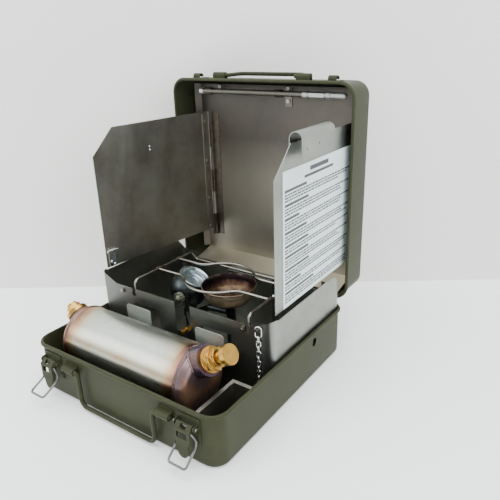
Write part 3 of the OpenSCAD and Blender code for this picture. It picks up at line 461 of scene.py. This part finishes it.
EVEN = (700, 700, 700)  # brush scale without a direction, for wire
M = {
    "olive": painted("olive_enamel", OLIVE),
    # Painted light: the fade paints the liner pale at its bottom and dark toward its top, offsetting the reflections
    # it picks up in the scene.
    "liner": steel("liner_steel", srgb(90, 87, 82), 0.44, (1100, 1100, 16), srgb(100, 90, 78), 0.4,
                   fade=(2, 0.075, 0.30, srgb(188, 182, 166))),
    "panel": steel("panel_steel", srgb(147, 152, 146), 0.40, (1100, 1100, 18), srgb(160, 154, 140), 0.35),
    "stained": steel("stained_steel", srgb(172, 171, 162), 0.36, (900, 900, 20), srgb(136, 122, 102), 0.5),
    "house": steel("housing_steel", srgb(142, 145, 138), 0.40, (24, 1000, 1000), srgb(112, 104, 92), 0.45,
                   fade=(1, -0.036, -0.028, srgb(104, 106, 102))),
    "wire": steel("bright_wire", srgb(146, 142, 134), 0.28, EVEN, srgb(140, 128, 112), 0.3, patch_scale=60),
    "bail": steel("bail_wire", srgb(120, 122, 118), 0.34, EVEN, srgb(78, 74, 68), 0.5, patch_scale=60),
    "dark_wire": steel("dark_steel", srgb(122, 114, 104), 0.38, EVEN, srgb(76, 62, 50), 0.5, patch_scale=60),
    "tongue": steel("tongue_steel", srgb(190, 194, 190), 0.5, (900, 20, 900), patch_scale=25),
    "chrome": steel("chromed_steel", srgb(228, 228, 226), 0.14, (600, 600, 600), patch_scale=60),
    "tank": tinted_tank("tank_steel"),
    "brass": brass("brass_fittings", srgb(188, 150, 76), 0.22),
    "knob": brass("brass_spun", srgb(192, 154, 76), 0.26, (PUMP_O, PUMP_AX)),
    "zinc": zinc("zinc_plate", srgb(70, 76, 76), 0.34),
    "dish": zinc("bright_zinc", srgb(182, 197, 204), 0.28),
    "wheel": zinc("valve_zinc", srgb(168, 172, 154), 0.34),
    "neck": burnt("neck_steel", [(0, srgb(62, 46, 58)), (0.4, srgb(84, 66, 84)), (0.7, srgb(104, 84, 76)),
                                 (1, srgb(84, 76, 96))], 76, 120, 0.3),
    "bowl_out": burnt("bowl_outside", [(0, srgb(84, 62, 50)), (0.4, srgb(138, 114, 88)), (0.75, srgb(184, 166, 142)),
                                       (1, srgb(164, 144, 124))], 88, 117),
    "bowl_in": burnt("bowl_inside", [(0, srgb(46, 38, 34)), (0.16, srgb(66, 54, 44)), (0.34, srgb(100, 80, 60)),
                                     (0.48, srgb(84, 58, 46)), (0.6, srgb(40, 27, 27)), (0.9, srgb(36, 24, 27)),
                                     (1, srgb(96, 80, 72))], 88, 118),
    "card": plain_card("placard_enamel", srgb(216, 228, 229), srgb(200, 211, 211)),
    "ink": plain_card("placard_ink", srgb(58, 60, 64), srgb(80, 82, 86), 0.5),
    "rubber": plain_card("seal_rubber", srgb(30, 30, 30), srgb(44, 42, 40), 0.6),
    "pipe": steel("pipe_steel", srgb(112, 111, 103), 0.5, (40, 900, 900), srgb(104, 92, 78), 0.5, patch_scale=80),
}

# ---------------------------------------------------------------- carried-over parts

LOOKS = {
    "olive": "hinge_tray latch_plates latch_lever_left latch_lever_right base_handle_brackets hinge_lid "
             "lid_keepers lid_handle_brackets base_tray lid_shell base_handle lid_handle",
    "liner": "lid_liner lid_leaf_right",
    "panel": "shield_right shield_leaf_right shield_clip shield_rivets_right burner_bracket",
    "stained": "shield_left shield_leaf_left shield_rivets_left spares_divider",
    "house": "housing_shell housing_floor tank_saddles",
    "tongue": "tank_tongues fuel_pipe_unions fuel_pipe_screws",
    "wire": "hinge_pins latch_pins latch_bail_left latch_bail_right shield_pins grid_rails grid_wires grid_clamps",
    "dark_wire": "grid_collars fuel_pipe_clips lid_leaf_left",
    "chrome": "shield_catch_left shield_catch_right chain",
    "tank": "tank_barrel tank_ends",
    "neck": "tank_necks",
    "brass": "filler_cap pump_body fuel_union",
    "knob": "pump_plunger",
    "zinc": "mixing_bulb valve_body pump_barrel",
    "dish": "bulb_dish",
    "wheel": "valve_knob",
    "bowl_in": "burner_bowl flame_spreader",
    "card": "placard",
    "rubber": "filler_seal",
    "pipe": "fuel_pipe",
}
BEVEL = {"housing_shell": 0.25, "lid_liner": 0.2, "filler_cap": 0.7, "pump_body": 0.5, "pump_plunger": 0.6,
         "latch_lever_left": 0.35, "latch_lever_right": 0.35, "fuel_union": 0.4, "valve_knob": 0.4, "valve_body": 0.4}
for look, names in LOOKS.items():
    for n in names.split():
        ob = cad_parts[n]
        me = ob.data
        for i in range(max(1, len(ob.material_slots))):
            if len(me.materials) <= i:
                me.materials.append(M[look])
            me.materials[i] = M[look]
        weld = ob.modifiers.new("weld", "WELD")
        weld.merge_threshold = 0.00002
        bev = ob.modifiers.new("edge", "BEVEL")
        bev.width = BEVEL.get(n, 0.22) * MM
        bev.segments = 2
        bev.limit_method = "ANGLE"
        bev.angle_limit = math.radians(32)
        bev.use_clamp_overlap = True
        for p in me.polygons:
            p.use_smooth = True
        wn = ob.modifiers.new("normals", "WEIGHTED_NORMAL")
        wn.keep_sharp = False

# ---------------------------------------------------------------- case

CASE_H, TRAY_H, LID_H, SHEET, BEAD = 160.0, 74.0, 57.0, 1.2, 2.6
WALL = CASE_H - 3
HINGE_Y, HINGE_Z = 162.4, 74.0
BAIL_X, BAIL_END, BAIL_Y, BAIL_Z = 13.2, 9.0, -167.5, 49.5


def opened(v):
    x, y, z = v
    return (x, HINGE_Y + (z - HINGE_Z), HINGE_Z - (y - HINGE_Y))


def shell_profile(base, top, r):
    """Outside base, rounded edge, wall, rolled bead, inside wall and base."""
    s = 1 if top > base else -1
    c = base + s * r
    out = arc(-r, 0, r, -90, 0, 8)
    inn = arc(-r, 0, r - SHEET, 0, -90, 8)
    pts = [(-40, base)] + [(o, c + s * z) for o, z in out]
    b = top - s * BEAD
    pts += [(o, b + s * z) for o, z in arc(0.4, 0, BEAD, -100, 128, 14)]
    pts += [(o, c + s * z) for o, z in inn] + [(-40, base + s * SHEET)]
    return pts


verts, faces = pan(shell_profile(0, TRAY_H, 5.5), WALL, WALL, 21)
tray = make("tray_pressing", verts, faces, M["olive"], "case", ["base_tray"], 30)
verts, faces = pan(shell_profile(TRAY_H + LID_H, TRAY_H, 3.2), WALL, WALL, 21)
make("lid_pressing", [opened(v) for v in verts], faces, M["olive"], "lid", ["lid_shell"], 30)

ring = [(p.x, p.y) for p in round_path([(60.2, 48.5, 0), (71.8, 48.5, 0), (71.8, 60.5, 0), (62, 61.5, 0)],
                                       [5.5, 5.5, 4, 1.5], 6, True)]
n = len(ring)
cv = [(150, y, z) for y, z in ring] + [(162, y, z) for y, z in ring]
cf = [tuple(range(n)), tuple(range(n, 2 * n))] + [(j, (j + 1) % n, n + (j + 1) % n, n + j) for j in range(n)]
cm = bpy.data.meshes.new("hole_cutter")
cm.from_pydata([tuple(c * MM for c in v) for v in cv], [], cf)
bm = bmesh.new()
bm.from_mesh(cm)
bmesh.ops.recalc_face_normals(bm, faces=bm.faces)
bm.to_mesh(cm)
bm.free()
cutter = bpy.data.objects.new("hole_cutter", cm)
bpy.context.collection.objects.link(cutter)
mod = tray.modifiers.new("hole", "BOOLEAN")
mod.operation, mod.solver, mod.object = "DIFFERENCE", "FAST", cutter
bpy.context.view_layer.update()
done = bpy.data.meshes.new_from_object(tray.evaluated_get(bpy.context.evaluated_depsgraph_get()))
tray.modifiers.clear()
tray.data = done
bpy.data.objects.remove(cutter)

# ---------------------------------------------------------------- wires


def loop_wire(x, h, r, place, foot):
    """A carrying loop: feet along X into the brackets, legs down, one bar."""
    pts = [(-x - foot, 0, 0), (-x, 0, 0), (-x, 0, -h), (x, 0, -h), (x, 0, 0), (x + foot, 0, 0)]
    return tube([place(p) for p in round_path(pts, [0, 6, 10, 10, 6, 0], 8)], r, 18)


HANDLE_Y, HANDLE_Z = -163.6, 55.0
TOP_Y, TOP_Z = 179.4, 400.0
v, f = loop_wire(66, 49, 3, lambda p: (p[0], HANDLE_Y + p[1], HANDLE_Z + p[2]), 28.5)
make("carry_handle", v, f, M["olive"], "tray_handle", ["base_handle"])
v, f = loop_wire(58, 34, 3, lambda p: (p[0], TOP_Y - p[2], TOP_Z + p[1]), 27.5)
make("lid_carry_handle", v, f, M["olive"], "top_handle", ["lid_handle"])

BAIL_LEG = [(0, 0), (5.7, -11), (5.7, -19), (-15.5, -36.5)]


def bail_wire(x_mid, swing):
    """Bail with bowed legs, swung outward about its pivot."""
    c, w = math.cos(math.radians(swing)), math.sin(math.radians(swing))
    leg = [(BAIL_Y + y * c + z * w, BAIL_Z + z * c - y * w) for y, z in BAIL_LEG]
    side = [(BAIL_X,) + q for q in leg]
    far_side = [(-x, y, z) for x, y, z in reversed(side)]
    pts = [(BAIL_END,) + leg[0]] + side + far_side + [(-BAIL_END,) + leg[0]]
    bends = [0, 2, 8, 13, 4, 4, 13, 8, 2, 0]
    return tube([(x_mid + x, y, z) for x, y, z in round_path(pts, bends, 7)], 1.5, 12)


for side, x_mid, swing in (("left", -122.5, 14), ("right", 117.0, 0)):
    v, f = bail_wire(x_mid, swing)
    make("bail_" + side + "_wire", v, f, M["bail"], "bail_" + side, ["latch_bail_" + side])

RAIL_L, RAIL_R, WIRE_R = -87.0, 113.5, 2.0
GRID_X, GRID_Y, GRID_Z = 13.0, 42.5, 130.0
PIV_Y, PIV_Z = -29.5, 111.0
REAR_Y, REAR_Z = 100.0, 118.6
parts = []
for o, x in ((-1, RAIL_L), (1, RAIL_R)):
    pts = [(x + o * 15.6, PIV_Y, PIV_Z), (x, PIV_Y, PIV_Z), (x, PIV_Y, GRID_Z), (x, 97, GRID_Z),
           (x - o * 8, REAR_Y, REAR_Z), (x - o * 16, REAR_Y, REAR_Z)]
    parts.append(tube(round_path(pts, [0, 5, 7, 4, 4, 0], 8), WIRE_R, 16))
v, f = join(*parts)
make("support_rails", v, f, M["wire"], "pot_support", ["grid_rails"])


def bowed(d):
    """Cross wire with a bow round the burner: a straight, a fillet, the bow, a fillet and a straight."""
    rb, fr = 51.0, 25.0
    cx = math.sqrt((rb + fr) ** 2 - (d + fr) ** 2)
    a = math.atan2(d + fr, cx)
    turn = math.pi / 2 - a
    fillet = [(fr * math.sin(t * turn / 10), fr * math.cos(t * turn / 10)) for t in range(11)]
    pts = [(RAIL_L - GRID_X + WIRE_R, -d)]
    pts += [(-cx + x, -d - fr + y) for x, y in fillet]
    pts += [(rb * math.cos(math.pi + a + 2 * turn * t / 28), rb * math.sin(math.pi + a + 2 * turn * t / 28))
            for t in range(29)]
    pts += [(cx - x, -d - fr + y) for x, y in reversed(fillet)]
    pts.append((RAIL_R - GRID_X - WIRE_R, -d))
    return [(GRID_X + x, GRID_Y - y, GRID_Z) for x, y in pts]


front = [(x, 2 * GRID_Y - y, z) for x, y, z in bowed(22.5)]
rear = bowed(23.5)
v, f = join(tube(front, WIRE_R, 16), tube(rear, WIRE_R, 16),
            tube([(RAIL_L + 9.8, REAR_Y, REAR_Z), (RAIL_R - 9.8, REAR_Y, REAR_Z)], WIRE_R, 16))
make("support_wires", v, f, M["wire"], "pot_support", ["grid_wires"])

# ---------------------------------------------------------------- tank


def tank_outline():
    """Left cap, barrel and right cap with weld beads, as (radius, x)."""
    left = [(0, -126), (32, -126), (37.6, -124.6), (40.4, -121.4), (41.2, -119), (41.3, -117.6)]
    bead0 = [(42.4, -116.9), (42.9, -116), (42.4, -115.1), (41.7, -114.2)]
    body = [(41.7, x) for x in range(-112, 79, 5)]
    bead1 = [(41.7, 78.6), (42.5, 79.6), (42.9, 80.5), (42.3, 81.5), (41.2, 82.3)]
    flange = [(41.9, 83.2), (42.0, 84.6), (41.2, 85.6)]
    right = [(40.6, 88.4), (39.4, 91.4), (37, 94), (33, 95.3), (20, 95.5), (0, 95.5)]
    return left + bead0 + body + bead1 + flange + right


def tank_skin(r, t, a):
    """Ripples on the weld beads and the raised seam along the barrel."""
    q = 0.0
    if r > 42.2:
        q += 0.22 * math.sin(a * 74) * math.cos(a * 5)
    if r > 38:
        for centre, height in ((62, 0.75), (68.5, 0.45)):
            d = (math.degrees(a) - (360 - centre) + 180) % 360 - 180
            q += height * math.exp(-(d / 0.9) ** 2)
    return q


v, f = lathe(tank_outline(), (0, TANK_Y, TANK_Z), (1, 0, 0), 400, wobble=tank_skin)
make("tank_skin", v, f, M["tank"], "case", ["tank_barrel", "tank_ends"], 50)


def inside_tank(p):
    x = p.x
    r = math.hypot(p.y - TANK_Y, p.z - TANK_Z)
    prof = [(q[1], q[0]) for q in tank_outline()]
    if x < prof[0][0] or x > prof[-1][0]:
        return False
    for (x0, r0), (x1, r1) in zip(prof, prof[1:]):
        if x0 <= x <= x1 and x1 > x0:
            return r < r0 + (r1 - r0) * (x - x0) / (x1 - x0)
    return r < 33


def collar(origin, axis, radius, top):
    """Where a neck of this radius meets the tank, as a closed path."""
    ax = Vector(axis)
    e1 = Vector((0, 1, 0))
    e2 = ax.cross(e1)
    out = []
    for j in range(96):
        a = 2 * math.pi * j / 96
        t = top
        while t > -40:
            p = Vector(origin) + ax * t + (e1 * math.cos(a) + e2 * math.sin(a)) * radius
            if inside_tank(p):
                break
            t -= 0.2
        out.append(p)
    return out


for name, origin, axis, radius, top in (("pump_neck_weld", PUMP_O, PUMP_AX, 20, 21),
                                        ("filler_neck_weld", FILL_O, FILL_AX, 16, 11)):
    path = collar(origin, axis, radius, top)
    for _ in range(3):
        path = [(path[i - 1] + path[i] * 2 + path[(i + 1) % len(path)]) / 4 for i in range(len(path))]
    v, f = tube(path, lambda i: 1.5 + 0.22 * math.sin(i * 1.9), 10, True)
    make(name, v, f, M["tank"], "case")

# ---------------------------------------------------------------- burner

BOWL = (21.0, 53.0)
out_p = profile([(5.9, 88), (20, 88), (28.5, 91), (35.5, 98), (39.2, 107), (40.6, 115.6)], [0, 5, 8, 9, 9, 0], 5)
lip = arc(40.3, 116.1, 0.75, -20, 200, 6)
in_p = profile([(39.2, 115.4), (38, 107.4), (34.2, 98.8), (27.6, 92.3), (19.8, 89.2), (5.9, 89.2)],
               [0, 9, 9, 8, 5, 0], 5)
prof = out_p + lip + in_p
v, f = lathe(prof, (BOWL[0], BOWL[1], 0), (0, 0, 1), 128, closed=True)
idx = []
for i in range(len(prof)):
    idx += [0 if i < len(out_p) + 2 else 1] * 128
make("burner_cup", v, f, [M["bowl_out"], M["bowl_in"]], "case", ["burner_bowl"], 60, idx)

BULB, BULB_TILT, BULB_TURN, BULB_CUT = Vector((-51, 46.4, 96)), math.radians(28), math.radians(15), 20.0
DISH_AX = Vector((math.sin(BULB_TILT) * math.cos(BULB_TURN), math.sin(BULB_TILT) * math.sin(BULB_TURN),
                  math.cos(BULB_TILT)))
dish = profile([(0, -5.6), (8, -5.6), (9, -4.6), (14, -4.6), (16.2, -3.4), (17.2, 1.2), (20, 1.5), (22, 2.4),
                (23.2, 3.8), (24.2, 3.4), (24, 2.2), (22.6, 0.8), (20.6, 0.1), (18.2, 0.05), (17.4, -4), (15, -5.8),
                (9.6, -5.8), (8.6, -6.8), (0, -6.8)],
               [0, 0.8, 0.8, 1.4, 1.2, 0.8, 1.2, 0.8, 0.35, 0.4, 0.8, 0.8, 0.8, 0.4, 1, 1, 1, 0.8, 0], 4)
v, f = lathe(dish, BULB + DISH_AX * BULB_CUT, DISH_AX, 128, ref=(0, 1, 0))
make("bulb_lid", v, f, M["dish"], "case", ["bulb_dish"], 50)

# ---------------------------------------------------------------- placard

SR, SR_A = Vector((146.5, 200, 0)), math.radians(-90)
SR_U, SR_N = Vector((math.cos(SR_A), math.sin(SR_A), 0)), Vector((-math.sin(SR_A), math.cos(SR_A), 0))


def on_plate(u, z, h):
    """Point on the right shield: u from the hinge, z height, h out of the plate."""
    return SR + SR_U * u + SR_N * h + Vector((0, 0, z))


def bar(u0, u1, z0, z1):
    c = [(u0, z0), (u1, z0), (u1, z1), (u0, z1)]
    return [on_plate(u, z, 1.08) for u, z in c] + [on_plate(u, z, 1.17) for u, z in c]


CARD_U0, CARD_U1 = 23.0, 197.0
rng = random.Random(12)
cells = [bar(86, 136, 299, 304.5), bar(72, 150, 292, 295.5)]
z = 287.0
for group in range(10):
    cells.append(bar(CARD_U1 - rng.uniform(34, 74), CARD_U1, z - 3.4, z))
    z -= 5.4
    for line in range(rng.choice((2, 3, 3))):
        u, end = CARD_U1, rng.uniform(CARD_U0, 60) if line else CARD_U0
        while u > end:
            w = rng.uniform(2.5, 9)
            cells.append(bar(max(u - w, end - 2), u, z - 2.1, z))
            u -= w + 1.1
        z -= 3.6
    z -= 1.2
    if z < 146:
        break
v, f = boxes(cells)
make("placard_lines", v, f, M["ink"], "wind_shield_right")

# ---------------------------------------------------------------- camera, floor and light

CAM = Vector((0.4585, -0.5143, 0.4557))
AZ, PITCH, ROLL = math.radians(35.02), math.radians(21.78), math.radians(-1.75)
fwd = Vector((-math.sin(AZ) * math.cos(PITCH), math.cos(AZ) * math.cos(PITCH), -math.sin(PITCH)))
right0 = Vector((math.cos(AZ), math.sin(AZ), 0))
up0 = right0.cross(fwd)
right = right0 * math.cos(ROLL) + up0 * math.sin(ROLL)
up = up0 * math.cos(ROLL) - right0 * math.sin(ROLL)
cam_data = bpy.data.cameras.new("camera")
cam_data.lens, cam_data.sensor_width = 38.66, 36.0
cam_data.clip_start, cam_data.clip_end = 0.01, 30
cam = bpy.data.objects.new("camera", cam_data)
bpy.context.collection.objects.link(cam)
cam.matrix_world = Matrix((
    (right.x, up.x, -fwd.x, CAM.x), (right.y, up.y, -fwd.y, CAM.y), (right.z, up.z, -fwd.z, CAM.z), (0, 0, 0, 1)))
bpy.context.scene.camera = cam


def stage_plane(name, corners, mat):
    me = bpy.data.meshes.new(name)
    me.from_pydata(corners, [], [(0, 1, 2, 3)])
    me.materials.append(mat)
    ob = bpy.data.objects.new(name, me)
    bpy.context.collection.objects.link(ob)


def matt(name, colour, rough, glow):
    k = Look(name)
    k.bsdf.inputs["Emission Color"].default_value = colour
    k.bsdf.inputs["Emission Strength"].default_value = glow
    patch = k.noise(k.obj, 3, 3)
    shade = tuple(c * 0.97 for c in colour[:3]) + (1,)
    k.set(Base_Color=k.mix(k.span(patch, 0.3, 0.7, 0, 1), colour, shade), Roughness=rough)
    return k.mat


def clear_behind(mat):
    """The surface is see-through from its back, so a view from behind the wall still shows the stove."""
    nodes, links = mat.node_tree.nodes, mat.node_tree.links
    side = nodes.new("ShaderNodeNewGeometry").outputs["Backfacing"]
    both = nodes.new("ShaderNodeMixShader")
    links.new(side, both.inputs[0])
    links.new(nodes["Principled BSDF"].outputs[0], both.inputs[1])
    links.new(nodes.new("ShaderNodeBsdfTransparent").outputs[0], both.inputs[2])
    links.new(both.outputs[0], nodes["Material Output"].inputs["Surface"])


stage_plane("floor", [(-6, -6, -0.0004), (6, -6, -0.0004), (6, 6, -0.0004), (-6, 6, -0.0004)],
            matt("floor_white", (0.94, 0.955, 0.95, 1), 0.55, 0.3))
w0, w1 = Vector((-0.474, 0.022, 0)), Vector((0.305, 0.536, 0))
d = (w1 - w0).normalized()
a, b = w0 - d * 5, w1 + d * 5
wall_look = matt("wall_white", (0.83, 0.825, 0.79, 1), 0.8, 0.12)
clear_behind(wall_look)
stage_plane("wall", [(a.x, a.y, -0.01), (b.x, b.y, -0.01), (b.x, b.y, 3.0), (a.x, a.y, 3.0)], wall_look)


def area(name, loc, target, size, power, colour=(1, 1, 1)):
    li = bpy.data.lights.new(name, "AREA")
    li.shape, li.size, li.size_y = "RECTANGLE", size[0], size[1]
    li.energy, li.color = power, colour
    ob = bpy.data.objects.new(name, li)
    ob.location = loc
    ob.rotation_mode = "QUATERNION"
    ob.rotation_quaternion = (Vector(target) - Vector(loc)).to_track_quat("-Z", "Y")
    bpy.context.collection.objects.link(ob)


area("ceiling", (0.0, -0.2, 1.9), (0, 0, 0), (2.2, 1.8), 52)
area("front_left", (-1.3, -1.5, 1.2), (0, 0, 0.1), (1.2, 1.2), 19)
area("right_fill", (1.7, -0.3, 0.9), (0, 0, 0.15), (1.0, 1.2), 14)
world = bpy.data.worlds.new("studio")
world.use_nodes = True
world.node_tree.nodes["Background"].inputs[0].default_value = (0.86, 0.9, 0.95, 1)
world.node_tree.nodes["Background"].inputs[1].default_value = 1.35
bpy.context.scene.world = world
